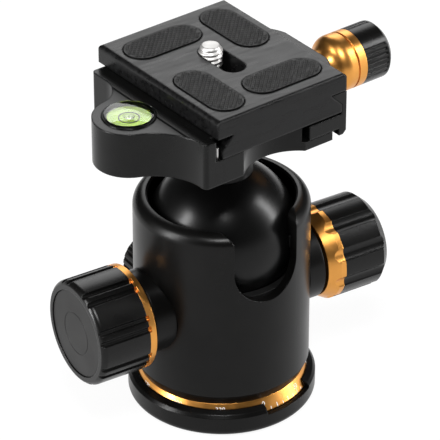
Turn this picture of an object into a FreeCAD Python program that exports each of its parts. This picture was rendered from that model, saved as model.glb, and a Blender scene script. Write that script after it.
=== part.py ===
import FreeCAD, Part
import math
import os
import Sketcher

# Tripod ball head: a ball with a quick-release clamp, held in a turning housing on a pan base.
# The origin is the mouth of the tripod thread, on the underside of the base, with +Z up.
# The drop slot looks along -Y, the main knob along -X, the friction knob along +X and the pan knob along +Y.
# The clamp has a frame of its own, turned about Z by clamp_turn: its jaw opens along +x there.

SIZES = {
    # Base, radii and heights
    "base_radius": 25.0,
    "base_foot_radius": 23.2,
    "base_rim_bottom": 1.8,
    "base_rim_top": 5.5,
    "lip_outer_radius": 24.3,
    "lip_outer_top": 6.4,
    "lip_inner_radius": 22.75,
    "lip_top": 7.2,
    "lip_foot": 0.6,
    "dish_radius": 23.85,
    "dish_floor": 4.3,
    "window_turn": -73.5,
    "window_width": 39.0,
    "window_floor": 4.9,
    "window_margin": 1.0,
    "post_radius": 7.0,
    "post_top": 23.0,
    "insert_radius": 6.2,
    "insert_length": 9.5,
    "tripod_thread_radius": 4.7625,
    "insert_seat_gap": 0.1,
    "post_screw_radius": 2.0,
    "post_screw_depth": 10.5,
    "post_screw_head": 4.0,
    "post_screw_cone": 2.8,
    "post_washer_radius": 9.0,
    "post_washer_thick": 1.2,
    "bearing_inner": 8.5,
    "bearing_outer": 18.0,
    "bearing_thick": 0.5,
    "running_gap": 0.08,
    "face_gap": 0.05,
    # Graduated ring on the foot of the housing
    "ring_seat_radius": 19.0,
    "ring_bottom": 4.85,
    "ring_bottom_radius": 23.45,
    "ring_top": 8.4,
    "ring_top_radius": 21.9,
    "ring_band": 0.3,
    # Housing
    "housing_foot_radius": 21.9,
    "housing_foot_rise": 3.0,
    "housing_radius": 23.2,
    "housing_top": 60.1,
    "shoulder": 3.3,
    "rim_chamfer": 0.5,
    "mouth_radius": 19.3,
    "cavity_radius": 20.6,
    "cavity_floor": 25.6,
    "washer_room": 0.3,
    "slot_half": 9.4,
    "slot_corner": 2.6,
    # Ball, neck and cross pin
    "ball_radius": 20.0,
    "ball_height": 48.7,
    "ball_gap": 0.15,
    "seat_wall": 0.15,
    "seat_bottom": 0.9,
    "seat_top": 4.0,
    "neck_radius": 8.0,
    "neck_flange_radius": 10.5,
    "neck_flange_thick": 2.0,
    "shank_radius": 5.0,
    "shank_depth": 11.0,
    "pin_radius": 1.5,
    "pin_half": 17.5,
    "pin_gap": 0.05,
    "neck_screw_radius": 3.0,
    "neck_screw_length": 16.0,
    "neck_screw_head_radius": 5.0,
    "neck_screw_head": 3.2,
    "neck_screw_sink": 0.5,
    "neck_screw_key": 2.7,
    "neck_screw_key_depth": 1.9,
    # Pressure cup under the ball and its disc spring
    "cup_bottom": 27.1,
    "cup_top": 40.0,
    "cup_side_gap": 0.2,
    "cup_chamfer": 2.0,
    "spring_inner": 10.5,
    "spring_outer": 16.5,
    "spring_thick": 0.5,
    "spring_rise": 0.55,
    # Both large knobs lie on one axis
    "knob_axis": 31.6,
    "collar_radius": 11.2,
    "collar_bevel": 0.6,
    "collar_spigot": 6.6,
    "plunger_radius": 4.0,
    "plunger_gap": 0.1,
    "plunger_nose": 3.3,
    "nose_hole": 3.7,
    "nose_shoulder": 1.5,
    "plunger_sink": 1.0,
    "cone_length": 2.2,
    "knob_to_collar": 0.5,
    "cap_edge": 0.35,
    # Main knob, distances from the housing's axis
    "main_collar_end": 27.0,
    "main_ring_radius": 14.1,
    "main_ring_back": 12.6,
    "main_ring_bevel": 0.8,
    "main_ring_thick": 2.7,
    "main_grip_radius": 14.2,
    "main_face_radius": 13.2,
    "main_face": 44.4,
    "main_face_bevel": 1.8,
    "main_face_round": 1.8,
    "main_cap_radius": 11.9,
    "main_cap_thick": 1.4,
    "main_cap_recess": 0.25,
    "main_shaft_radius": 3.9,
    "main_nose_end": 13.2,
    # Friction knob, distances from the housing's axis
    "friction_collar_end": 26.0,
    "friction_ring_radius": 12.9,
    "friction_ring_back": 11.1,
    "friction_ring_bevel": 3.0,
    "friction_ring_thick": 4.5,
    "friction_grip_radius": 12.9,
    "friction_face_radius": 10.9,
    "friction_face": 45.2,
    "friction_face_bevel": 2.2,
    "friction_cap_radius": 9.6,
    "friction_cap_thick": 1.4,
    "friction_cap_recess": 0.25,
    "friction_shaft_radius": 3.9,
    "friction_pad_radius": 3.3,
    "friction_pad_gap": 0.12,
    "friction_pad_start": 6.4,
    # Flutes: two grooves with a rib between them on the main grip, one broad groove on the friction grip
    "main_flute_radius": 0.8,
    "main_flute_depth": 0.85,
    "main_rib_half_turn": 6.0,
    "main_flute_run_out": 0.6,
    "friction_flute_radius": 2.7,
    "friction_flute_depth": 0.8,
    # Pan knob
    "pan_axis": 20.0,
    "pan_screw_radius": 2.4,
    "pan_neck_radius": 4.6,
    "pan_knob_radius": 8.0,
    "pan_knob_start": 27.0,
    "pan_knob_end": 38.5,
    "pan_knob_bevel": 0.9,
    "pan_flute_radius": 0.5,
    "pan_pad_length": 2.5,
    "pan_pad_gap": 0.1,
    # Clamp, in its own frame
    "clamp_turn": 5.7,
    "clamp_bottom": 81.5,
    "clamp_floor": 88.5,
    "clamp_front": 25.0,
    "clamp_back": 22.6,
    "clamp_side": 24.4,
    "lobe_x": 30.0,
    "lobe_radius": 9.4,
    "lobe_y": -1.0,
    "lobe_front_blend": 15.0,
    "lobe_back_blend": 8.0,
    "lobe_top": 93.9,
    "lobe_step": 0.6,
    "wall_edge": 15.5,
    "floor_edge": 6.6,
    "rail_top": 83.9,
    "rail_edge": 16.1,
    "boss_edge": 15.6,
    "boss_half": 7.6,
    "scoop_radius": 14.0,
    "scoop_depth": 4.0,
    "scoop_x": 2.6,
    "jaw_relief": 3.0,
    "jaw_relief_edge": 21.1,
    "corner_round": 1.2,
    # Moving jaw
    "jaw_side": 20.5,
    "jaw_wall": 19.15,
    "jaw_web": 18.25,
    "jaw_foot_bevel": 1.0,
    "jaw_top": 94.2,
    "jaw_bottom": 82.0,
    "jaw_slider_bottom": 84.05,
    "jaw_slider_top": 87.9,
    "jaw_slider_edge": 8.7,
    "jaw_arm_gap": 0.35,
    "jaw_arm_end": 17.65,
    "jaw_bulge": 27.3,
    "jaw_bulge_half": 8.4,
    "jaw_bulge_blend": 8.6,
    "jaw_bulge_round": 14.0,
    "guide_pin_radius": 1.3,
    "guide_pin_y": 16.0,
    "guide_pin_depth": 9.0,
    "guide_pin_end": 18.15,
    "guide_pin_height": 85.95,
    "slide_gap": 0.1,
    # Clamp knob
    "clamp_axis": 85.4,
    "clamp_screw_radius": 2.0,
    "clamp_screw_end": 7.5,
    "clamp_screw_room": 1.5,
    "clamp_screw_bevel": 0.4,
    "hub_neck_radius": 4.6,
    "hub_gap": 0.15,
    "hub_neck_end": 30.5,
    "hub_waist": 34.3,
    "hub_waist_radius": 6.4,
    "hub_shoulder": 37.2,
    "hub_radius": 7.8,
    "hub_groove": 39.0,
    "hub_groove_width": 0.6,
    "hub_groove_depth": 0.35,
    "hub_end": 42.0,
    "clamp_grip_radius": 7.8,
    "clamp_grip_end": 51.0,
    "clamp_grip_bevel": 1.3,
    "clamp_flute_radius": 0.36,
    "clamp_cap_radius": 5.2,
    "clamp_cap_thick": 1.0,
    "clamp_cap_recess": 0.2,
    "clamp_flute_start": 0.6,
    # Spirit level
    "vial_radius": 6.3,
    "vial_depth": 5.0,
    "vial_proud": 0.7,
    "vial_dome": 0.5,
    "vial_wall": 0.7,
    "level_ring_wall": 0.6,
    "level_ring_proud": 0.35,
    "level_ring_slope": 0.2,
    # Stop pin beside the foot of the plate
    "stop_pin_x": 19.75,
    "stop_pin_y": 23.6,
    "stop_pin_radius": 0.5,
    "stop_pin_top": 91.6,
    "stop_pin_depth": 2.5,
    # Quick-release plate
    "plate_half": 20.4,
    "plate_length": 50.0,
    "plate_bottom": 88.6,
    "plate_top": 99.4,
    "flange_bottom": 94.5,
    "flange_round": 1.2,
    "neck_half": 15.6,
    "foot_half": 19.0,
    "foot_top": 90.9,
    "end_round": 0.8,
    "screw_slot_half": 3.3,
    "screw_slot_reach": 4.6,
    "head_room_half": 9.0,
    "head_room_top": 93.6,
    "pad_width": 10.2,
    "long_pad": 22.9,
    "long_pad_x": 6.6,
    "long_pad_y": 16.1,
    "side_pad": 22.9,
    "side_pad_x": 12.5,
    "side_pad_y": 10.9,
    "pad_depth": 0.8,
    "pad_proud": 0.3,
    "pad_gap": 0.25,
    # Camera screw
    "camera_thread_radius": 3.175,
    "camera_thread_top": 102.6,
    "camera_tip_radius": 2.1,
    "camera_tip": 1.1,
    "camera_neck_radius": 2.9,
    "camera_thread_start": 99.6,
    "camera_thread_bevel": 0.3,
    "camera_head_radius": 8.3,
    "camera_head_bottom": 89.4,
    "camera_head": 2.4,
    "coin_slot": 1.6,
    "coin_slot_depth": 1.3,
    "clip_radius": 5.6,
    "clip_thick": 0.8,
    # How far a cutting tool reaches past what it cuts
    "over": 1.0,
}

MAIN_FLUTES = 8
MAIN_RIB_TURN = 22.0
FRICTION_FLUTES = 10
FRICTION_FLUTE_TURN = 31.5
CLAMP_GROOVES = 7
CLAMP_GROUPS = 3
CLAMP_GROOVE_PITCH = 9.8
CLAMP_GROUP_TURN = 37.5
PAN_FLUTES = 24

doc = FreeCAD.newDocument("ball_head")
sheet = doc.addObject("Spreadsheet::Sheet", "Sizes")
X = FreeCAD.Vector(1, 0, 0)
Y = FreeCAD.Vector(0, 1, 0)
Z = FreeCAD.Vector(0, 0, 1)
UPRIGHT = FreeCAD.Rotation()
TO_LEFT = FreeCAD.Rotation(Z, -X)
TO_RIGHT = FreeCAD.Rotation(Z, X)
TO_REAR = FreeCAD.Rotation(Z, Y)
parts = []


# A size: its value, and the expression that gives it from the sheet


class Size:
    def __init__(self, value, text):
        self.value = value
        self.text = text

    def joined(self, other, sign, value):
        return Size(value, f"({self.text} {sign} {sized(other).text})")

    def __add__(self, other):
        return self.joined(other, "+", self.value + sized(other).value)

    def __sub__(self, other):
        return self.joined(other, "-", self.value - sized(other).value)

    def __mul__(self, other):
        return self.joined(other, "*", self.value * sized(other).value)

    def __truediv__(self, other):
        return self.joined(other, "/", self.value / sized(other).value)

    def __neg__(self):
        return Size(-self.value, f"(0 - {self.text})")


def sized(value):
    if isinstance(value, Size):
        return value
    return Size(float(value), f"({float(value):.9f})")


def root(size):
    return Size(math.sqrt(size.value), f"sqrt({size.text})")


def leg(long_side, short_side):
    """The third side of a right-angled triangle."""
    return root(long_side * long_side - short_side * short_side)


def rising_radius(along, rise):
    """Radius of an arc that starts level and climbs by rise over a distance along."""
    return (along * along + rise * rise) / (rise * 2)


class Sizes:
    """One attribute for each cell of the sheet."""


def fill_sheet():
    named = Sizes()
    for row, (name, value) in enumerate(SIZES.items(), start=1):
        sheet.set(f"A{row}", name)
        sheet.set(f"B{row}", str(value))
        sheet.setAlias(f"B{row}", name)
        setattr(named, name, Size(value, f"Sizes.{name}"))
    doc.recompute()
    return named


S = fill_sheet()


# Builders of solids


def bind(item, field, size):
    size = sized(size)
    setattr(item, field, size.value)
    item.setExpression(field, size.text)


def place(item, at=(0, 0, 0), turn=UPRIGHT):
    """Puts a solid at a point given by sizes, turned by a fixed rotation."""
    item.Placement = FreeCAD.Placement(FreeCAD.Vector(*[sized(v).value for v in at]), turn)
    for axis, value in zip("xyz", at):
        if isinstance(value, Size):
            item.setExpression(f"Placement.Base.{axis}", value.text)
    return item


def origin_plane(body, role):
    return next(f for f in body.Origin.OriginFeatures if f.Role == role)


def new_sketch(body, name, role="XY_Plane", offset=None):
    sketch = body.newObject("Sketcher::SketchObject", name)
    sketch.AttachmentSupport = (origin_plane(body, role), [""])
    sketch.MapMode = "FlatFace"
    if offset is not None:
        sketch.AttachmentOffset = FreeCAD.Placement(FreeCAD.Vector(0, 0, sized(offset).value), UPRIGHT)
        sketch.setExpression("AttachmentOffset.Base.z", sized(offset).text)
    return sketch


def pin_point(sketch, edge, end, x, y):
    """Fixes one end of an edge by its two coordinates."""
    for kind, value, axis in (("DistanceX", sized(x), -2), ("DistanceY", sized(y), -1)):
        if value.value == 0:
            sketch.addConstraint(Sketcher.Constraint("PointOnObject", edge, end, axis))
            continue
        number = sketch.addConstraint(Sketcher.Constraint(kind, -1, 1, edge, end, value.value))
        sketch.setExpression(f"Constraints[{number}]", value.text)


def arc_middle(start, end, radius, side):
    """The middle of an arc between two points; side is 1 if it bulges to the left of the way, else -1."""
    along = end - start
    half = along.Length / 2
    left = FreeCAD.Vector(-along.y, along.x, 0).normalize()
    to_centre = math.sqrt(max(radius * radius - half * half, 0))
    return (start + end) * 0.5 + left * side * (radius - to_centre)


def draw(sketch, corners):
    """Closed outline: each corner is (x, y), or (x, y, radius, side) where an arc leads to the next one."""
    points = [FreeCAD.Vector(sized(c[0]).value, sized(c[1]).value, 0) for c in corners]
    first = sketch.GeometryCount
    count = len(corners)
    starts = []
    ends = []
    for i, corner in enumerate(corners):
        start, end = points[i], points[(i + 1) % count]
        turns_left = len(corner) == 2 or corner[3] < 0
        starts.append(1 if turns_left else 2)
        ends.append(2 if turns_left else 1)
        if len(corner) == 2:
            sketch.addGeometry(Part.LineSegment(start, end), False)
            continue
        middle = arc_middle(start, end, sized(corner[2]).value, corner[3])
        if not turns_left:
            start, end = end, start
        sketch.addGeometry(Part.ArcOfCircle(start, middle, end), False)
    for i, corner in enumerate(corners):
        after = (i + 1) % count
        meeting = (first + i, ends[i], first + after, starts[after])
        sketch.addConstraint(Sketcher.Constraint("Coincident", *meeting))
        pin_point(sketch, first + i, starts[i], corner[0], corner[1])
        if len(corner) == 4:
            number = sketch.addConstraint(Sketcher.Constraint("Radius", first + i, sized(corner[2]).value))
            sketch.setExpression(f"Constraints[{number}]", sized(corner[2]).text)


def draw_circle(sketch, x, y, radius):
    x, y, radius = sized(x), sized(y), sized(radius)
    circle = Part.Circle(FreeCAD.Vector(x.value, y.value, 0), Z, radius.value)
    edge = sketch.addGeometry(circle, False)
    pin_point(sketch, edge, 3, x, y)
    number = sketch.addConstraint(Sketcher.Constraint("Radius", edge, radius.value))
    sketch.setExpression(f"Constraints[{number}]", radius.text)


def turned(name, corners):
    """A solid of revolution about Z; corners are (radius, height)."""
    body = doc.addObject("PartDesign::Body", name)
    sketch = new_sketch(body, name + "_profile", "XZ_Plane")
    draw(sketch, corners)
    solid = body.newObject("PartDesign::Revolution", name + "_turn")
    solid.Profile = sketch
    solid.ReferenceAxis = (sketch, ["V_Axis"])
    solid.Angle = 360
    body.Tip = solid
    return body


def raised(name, outlines, bottom, top):
    """A prism along Z between two heights."""
    body = doc.addObject("PartDesign::Body", name)
    sketch = new_sketch(body, name + "_outline", "XY_Plane", bottom)
    for outline in outlines:
        draw(sketch, outline)
    solid = body.newObject("PartDesign::Pad", name + "_pad")
    solid.Profile = sketch
    bind(solid, "Length", sized(top) - bottom)
    body.Tip = solid
    return body


def drawn_along_y(name, outline, front, back):
    """A bar along Y with a section of (x, z); front and back are how far it reaches each way from y = 0."""
    body = doc.addObject("PartDesign::Body", name)
    sketch = new_sketch(body, name + "_section", "XZ_Plane", -sized(back))
    draw(sketch, outline)
    solid = body.newObject("PartDesign::Pad", name + "_pad")
    solid.Profile = sketch
    bind(solid, "Length", sized(front) + back)
    body.Tip = solid
    return body


def cylinder(name, radius, length, at=(0, 0, 0), turn=UPRIGHT):
    item = doc.addObject("Part::Cylinder", name)
    bind(item, "Radius", radius)
    bind(item, "Height", length)
    return place(item, at, turn)


def box(name, low, high):
    item = doc.addObject("Part::Box", name)
    for field, a, b in zip(("Length", "Width", "Height"), low, high):
        bind(item, field, sized(b) - a)
    return place(item, low)


def sphere(name, radius, height):
    item = doc.addObject("Part::Sphere", name)
    bind(item, "Radius", radius)
    return place(item, (0, 0, height))


def joined(name, pieces):
    item = doc.addObject("Part::MultiFuse", name)
    item.Shapes = pieces
    return item


def carved(name, base, tools):
    item = doc.addObject("Part::Cut", name)
    item.Base = base
    item.Tool = tools[0] if len(tools) == 1 else joined(name + "_tools", tools)
    return item


def shared(name, pieces):
    item = doc.addObject("Part::MultiCommon", name)
    item.Shapes = pieces
    return item


def keep(item, label):
    item.Label = label
    parts.append(item)
    return item


def keep_on_clamp(item, label):
    """A piece drawn in the clamp's frame, which is turned about Z."""
    here = item.Placement
    turn = FreeCAD.Placement(FreeCAD.Vector(), FreeCAD.Rotation(Z, S.clamp_turn.value))
    for axis in "xyz":
        item.setExpression(f"Placement.Base.{axis}", None)
    item.Placement = turn.multiply(here)
    return keep(item, label)


# Pan base


def make_base():
    rim_arc = S.base_radius - S.base_foot_radius
    base = turned("base_turned", [
        (S.insert_radius, 0),
        (S.base_foot_radius, 0, rim_arc, -1),
        (S.base_radius, S.base_rim_bottom),
        (S.base_radius, S.base_rim_top),
        (S.lip_outer_radius, S.lip_outer_top),
        (S.lip_inner_radius, S.lip_top),
        (S.dish_radius, S.dish_floor + S.lip_foot),
        (S.dish_radius, S.dish_floor),
        (S.post_radius, S.dish_floor),
        (S.post_radius, S.post_top),
        (S.post_screw_radius, S.post_top),
        (S.post_screw_radius, S.insert_length + S.insert_seat_gap),
        (S.insert_radius, S.insert_length + S.insert_seat_gap),
    ])
    window = doc.addObject("Part::Cylinder", "scale_window")
    bind(window, "Radius", S.base_radius * 2)
    bind(window, "Height", S.lip_top - S.window_floor + S.over)
    bind(window, "Angle", S.window_width)
    start = S.window_turn.value - S.window_width.value / 2
    place(window, (0, 0, S.window_floor), FreeCAD.Rotation(Z, start))
    core = cylinder("window_core", S.lip_inner_radius - S.window_margin, S.lip_top * 2)
    keep(carved("base_cut", base, [carved("window_tool", window, [core])]), "pan_base")

    keep(turned("insert", [
        (S.tripod_thread_radius, 0),
        (S.insert_radius, 0),
        (S.insert_radius, S.insert_length),
        (S.tripod_thread_radius, S.insert_length),
    ]), "thread_insert")
    keep(turned("bearing", [
        (S.bearing_inner, S.dish_floor),
        (S.bearing_outer, S.dish_floor),
        (S.bearing_outer, S.dish_floor + S.bearing_thick),
        (S.bearing_inner, S.dish_floor + S.bearing_thick),
    ]), "bearing_washer")
    washer_top = S.post_top + S.post_washer_thick
    keep(turned("post_washer", [
        (S.post_screw_cone, S.post_top),
        (S.post_washer_radius, S.post_top),
        (S.post_washer_radius, washer_top),
        (S.post_screw_head, washer_top),
    ]), "retaining_washer")
    keep(turned("post_screw", [
        (0, S.post_top - S.post_screw_depth),
        (S.post_screw_radius, S.post_top - S.post_screw_depth),
        (S.post_screw_radius, S.post_top),
        (S.post_screw_cone, S.post_top),
        (S.post_screw_head, washer_top),
        (0, washer_top),
    ]), "retaining_screw")


# Housing with its mouth, drop slot and knob holes


def slot_outline():
    """The drop slot seen from the front, with its round foot on the ball's centre."""
    over = S.housing_top + S.shoulder
    corner_low = S.housing_top - S.slot_corner
    wide = S.slot_half + S.slot_corner
    return [
        (-S.slot_half, S.ball_height, S.slot_half, -1),
        (0, S.ball_height - S.slot_half, S.slot_half, -1),
        (S.slot_half, S.ball_height),
        (S.slot_half, corner_low, S.slot_corner, 1),
        (wide, S.housing_top),
        (wide, over),
        (-wide, over),
        (-wide, S.housing_top, S.slot_corner, 1),
        (-S.slot_half, corner_low),
    ]


def make_housing():
    seat_floor = S.post_top - S.slide_gap
    lip_bottom = S.ball_height + leg(S.ball_radius + S.ball_gap, S.mouth_radius)
    shell = turned("housing_turned", [
        (S.post_radius + S.running_gap, S.ring_bottom),
        (S.ring_seat_radius, S.ring_bottom),
        (S.ring_seat_radius, S.ring_top),
        (S.housing_foot_radius, S.ring_top),
        (S.housing_radius, S.ring_top + S.housing_foot_rise),
        (S.housing_radius, S.housing_top - S.shoulder, S.shoulder, -1),
        (S.housing_radius - S.shoulder, S.housing_top),
        (S.mouth_radius + S.rim_chamfer, S.housing_top),
        (S.mouth_radius, S.housing_top - S.rim_chamfer),
        (S.mouth_radius, lip_bottom),
        (S.cavity_radius, lip_bottom - (S.cavity_radius - S.mouth_radius)),
        (S.cavity_radius, S.cavity_floor),
        (S.post_washer_radius + S.washer_room, S.cavity_floor),
        (S.post_washer_radius + S.washer_room, seat_floor),
        (S.post_radius + S.running_gap, seat_floor),
    ])
    slot = drawn_along_y("drop_slot", slot_outline(), S.base_radius, 0)
    left = cylinder("main_hole", S.collar_spigot, S.base_radius, (0, 0, S.knob_axis), TO_LEFT)
    right = cylinder("friction_hole", S.collar_spigot, S.base_radius, (0, 0, S.knob_axis), TO_RIGHT)
    pan_bore = S.pan_screw_radius + S.running_gap
    rear = cylinder("pan_hole", pan_bore, S.base_radius, (0, 0, S.pan_axis), TO_REAR)
    keep(carved("housing_cut", shell, [slot, left, right, rear]), "housing")

    keep(turned("scale", [
        (S.ring_seat_radius, S.ring_bottom),
        (S.ring_bottom_radius, S.ring_bottom),
        (S.ring_bottom_radius, S.ring_bottom + S.ring_band),
        (S.ring_top_radius, S.ring_top),
        (S.ring_seat_radius, S.ring_top),
    ]), "scale_ring")

    ring = turned("seat_turned", [
        (S.mouth_radius, S.ball_height + S.seat_bottom),
        (S.cavity_radius - S.seat_wall, S.ball_height + S.seat_bottom),
        (S.cavity_radius - S.seat_wall, S.ball_height + S.seat_top),
        (S.mouth_radius, S.ball_height + S.seat_top),
    ])
    hollow = sphere("seat_hollow", S.ball_radius + S.ball_gap, S.ball_height)
    slot_again = drawn_along_y("seat_slot", slot_outline(), S.base_radius, 0)
    keep(carved("seat_cut", ring, [hollow, slot_again]), "upper_seat")

    spring_floor = S.cavity_floor
    keep(turned("spring", [
        (S.spring_inner, spring_floor + S.spring_rise),
        (S.spring_outer, spring_floor),
        (S.spring_outer, spring_floor + S.spring_thick),
        (S.spring_inner, spring_floor + S.spring_rise + S.spring_thick),
    ]), "cup_spring")


def make_collar(side, turn, label, end):
    """The round boss that a large knob runs on, seated on the housing and in its hole."""
    boss = turned(side + "_collar_turned", [
        (S.plunger_radius + S.plunger_gap, S.cavity_radius + S.cup_side_gap),
        (S.collar_spigot, S.cavity_radius + S.cup_side_gap),
        (S.collar_radius, S.cavity_radius),
        (S.collar_radius, end - S.collar_bevel),
        (S.collar_radius - S.collar_bevel, end),
        (S.plunger_radius + S.plunger_gap, end),
    ])
    place(boss, (0, 0, S.knob_axis), turn)
    shell = cylinder(side + "_collar_shell", S.housing_radius, S.housing_top)
    spigot_hole = cylinder(side + "_collar_hole", S.collar_spigot, S.base_radius, (0, 0, S.knob_axis), turn)
    tool = carved(side + "_collar_tool", shell, [spigot_hole])
    keep(carved(side + "_collar_cut", boss, [tool]), label)


# Ball, neck and what lies round them


def make_ball():
    top = S.clamp_bottom
    crown = S.ball_height + leg(S.ball_radius, S.neck_radius)
    shank_bottom = crown - S.shank_depth
    bore = S.shank_radius + S.running_gap

    ball = sphere("ball_sphere", S.ball_radius, S.ball_height)
    hole = S.pin_radius + S.pin_gap
    pin_start = (-S.ball_radius, 0, S.ball_height)
    tools = [
        cylinder("ball_bore", bore, S.ball_radius * 2, (0, 0, shank_bottom - S.face_gap)),
        cylinder("ball_cross_hole", hole, S.ball_radius * 2, pin_start, TO_RIGHT),
        cylinder("ball_crown", S.neck_radius + S.face_gap, S.ball_radius, (0, 0, crown - S.face_gap)),
    ]
    keep(carved("ball_cut", ball, tools), "ball")
    pin_end = (-S.pin_half, 0, S.ball_height)
    keep(cylinder("pin", S.pin_radius, S.pin_half * 2, pin_end, TO_RIGHT), "cross_pin")

    flange_bottom = top - S.neck_flange_thick
    neck = turned("neck_turned", [
        (0, shank_bottom),
        (S.shank_radius, shank_bottom),
        (S.shank_radius, crown),
        (S.neck_radius, crown),
        (S.neck_radius, flange_bottom - S.neck_flange_thick),
        (S.neck_flange_radius, flange_bottom),
        (S.neck_flange_radius, top),
        (S.neck_screw_radius, top),
        (S.neck_screw_radius, top - S.neck_screw_length),
        (0, top - S.neck_screw_length),
    ])
    keep(neck, "neck")

    screw_top = S.clamp_floor - S.neck_screw_sink
    shaft = turned("neck_screw_turned", [
        (0, top - S.neck_screw_length),
        (S.neck_screw_radius, top - S.neck_screw_length),
        (S.neck_screw_radius, screw_top - S.neck_screw_head),
        (S.neck_screw_head_radius, screw_top - S.neck_screw_head),
        (S.neck_screw_head_radius, screw_top),
        (0, screw_top),
    ])
    key = doc.addObject("Part::Prism", "neck_screw_key")
    key.Polygon = 6
    bind(key, "Circumradius", S.neck_screw_key)
    bind(key, "Height", S.neck_screw_head)
    place(key, (0, 0, screw_top - S.neck_screw_key_depth))
    keep(carved("neck_screw_cut", shaft, [key]), "neck_screw")


def make_cup():
    side = S.cavity_radius - S.cup_side_gap
    blank = turned("cup_turned", [
        (0, S.cup_bottom),
        (side - S.cup_chamfer, S.cup_bottom),
        (side, S.cup_bottom + S.cup_chamfer),
        (side, S.cup_top),
        (0, S.cup_top),
    ])
    hollow = sphere("cup_hollow", S.ball_radius + S.ball_gap, S.ball_height)
    hole_start = (-S.cavity_radius, 0, S.knob_axis)
    holes = cylinder("cup_holes", S.nose_hole, S.cavity_radius * 2, hole_start, TO_RIGHT)
    drain = cylinder("cup_drain", S.nose_hole, S.cup_top, (0, 0, S.cavity_floor))
    keep(carved("cup_cut", blank, [hollow, holes, drain]), "ball_cup")


def make_plungers():
    """What the two large knobs push inwards: a steel cone under the cup, and a soft pad on the ball."""
    start = S.cavity_radius + S.nose_shoulder
    wedge = turned("wedge_turned", [
        (0, S.main_nose_end),
        (S.plunger_nose - S.cone_length, S.main_nose_end),
        (S.plunger_nose, S.main_nose_end + S.cone_length),
        (S.plunger_nose, start),
        (S.plunger_radius, start),
        (S.plunger_radius, S.main_collar_end - S.plunger_sink),
        (0, S.main_collar_end - S.plunger_sink),
    ])
    keep(place(wedge, (0, 0, S.knob_axis), TO_LEFT), "main_wedge")

    pad = turned("pad_turned", [
        (0, S.friction_pad_start),
        (S.friction_pad_radius, S.friction_pad_start),
        (S.friction_pad_radius, start),
        (S.plunger_radius, start),
        (S.plunger_radius, S.friction_collar_end - S.plunger_sink),
        (0, S.friction_collar_end - S.plunger_sink),
    ])
    place(pad, (0, 0, S.knob_axis), TO_RIGHT)
    hollow = sphere("pad_hollow", S.ball_radius + S.friction_pad_gap, S.ball_height)
    keep(carved("pad_cut", pad, [hollow]), "friction_pad")


# Large knobs


def fluted(body, name, count, turns, centre, radius, start=None, depth=None):
    """Cuts round grooves along a turned grip at some angles, and repeats them round it."""
    sketch = new_sketch(body, name + "_flutes", "XY_Plane", start)
    for turn in turns:
        angle = math.radians(turn)
        draw_circle(sketch, centre * math.cos(angle), centre * math.sin(angle), radius)
    pocket = body.newObject("PartDesign::Pocket", name + "_groove")
    pocket.Profile = sketch
    if depth is None:
        pocket.Type = "ThroughAll"
        pocket.Midplane = True
    else:
        bind(pocket, "Length", depth)
    pattern = body.newObject("PartDesign::PolarPattern", name + "_round")
    pattern.Originals = [pocket]
    pattern.Axis = (sketch, ["N_Axis"])
    pattern.Angle = 360
    pattern.Occurrences = count
    body.Tip = pattern
    return body


def end_cap(name, radius, floor, thick):
    """A thin disc with a small bevel, let into the end of a grip."""
    return turned(name, [
        (0, floor),
        (radius, floor),
        (radius, floor + thick - S.cap_edge),
        (radius - S.cap_edge, floor + thick),
        (0, floor + thick),
    ])


def rod(name, radius, start, end):
    return turned(name, [(0, start), (radius, start), (radius, end), (0, end)])


def make_main_knob():
    back = S.main_collar_end + S.knob_to_collar
    grip_start = back + S.main_ring_thick
    cap_floor = S.main_face - S.main_cap_recess - S.main_cap_thick
    flute_centre = S.main_grip_radius + S.main_flute_radius - S.main_flute_depth
    flute = S.main_flute_radius
    run_out = S.main_flute_run_out
    half = S.main_rib_half_turn.value
    turns = (MAIN_RIB_TURN - half, MAIN_RIB_TURN + half)
    ring = turned("main_ring", [
        (S.main_shaft_radius, back),
        (S.main_ring_back, back),
        (S.main_ring_radius, back + S.main_ring_bevel),
        (S.main_ring_radius, grip_start),
        (S.main_shaft_radius, grip_start),
    ])
    fluted(ring, "main_ring", MAIN_FLUTES, turns, flute_centre, flute, grip_start, run_out)
    keep(place(ring, (0, 0, S.knob_axis), TO_LEFT), "main_gold_ring")

    grip = turned("main_grip_turned", [
        (S.main_shaft_radius, grip_start),
        (S.main_grip_radius, grip_start),
        (S.main_grip_radius, S.main_face - S.main_face_bevel, S.main_face_round, -1),
        (S.main_face_radius, S.main_face),
        (S.main_cap_radius, S.main_face),
        (S.main_cap_radius, cap_floor),
        (S.main_shaft_radius, cap_floor),
    ])
    fluted(grip, "main_grip", MAIN_FLUTES, turns, flute_centre, flute)
    keep(place(grip, (0, 0, S.knob_axis), TO_LEFT), "main_grip")

    cap = end_cap("main_cap", S.main_cap_radius, cap_floor, S.main_cap_thick)
    keep(place(cap, (0, 0, S.knob_axis), TO_LEFT), "main_end_cap")
    shaft = rod("main_rod", S.main_shaft_radius, S.main_collar_end - S.plunger_sink, cap_floor)
    keep(place(shaft, (0, 0, S.knob_axis), TO_LEFT), "main_shaft")


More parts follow.
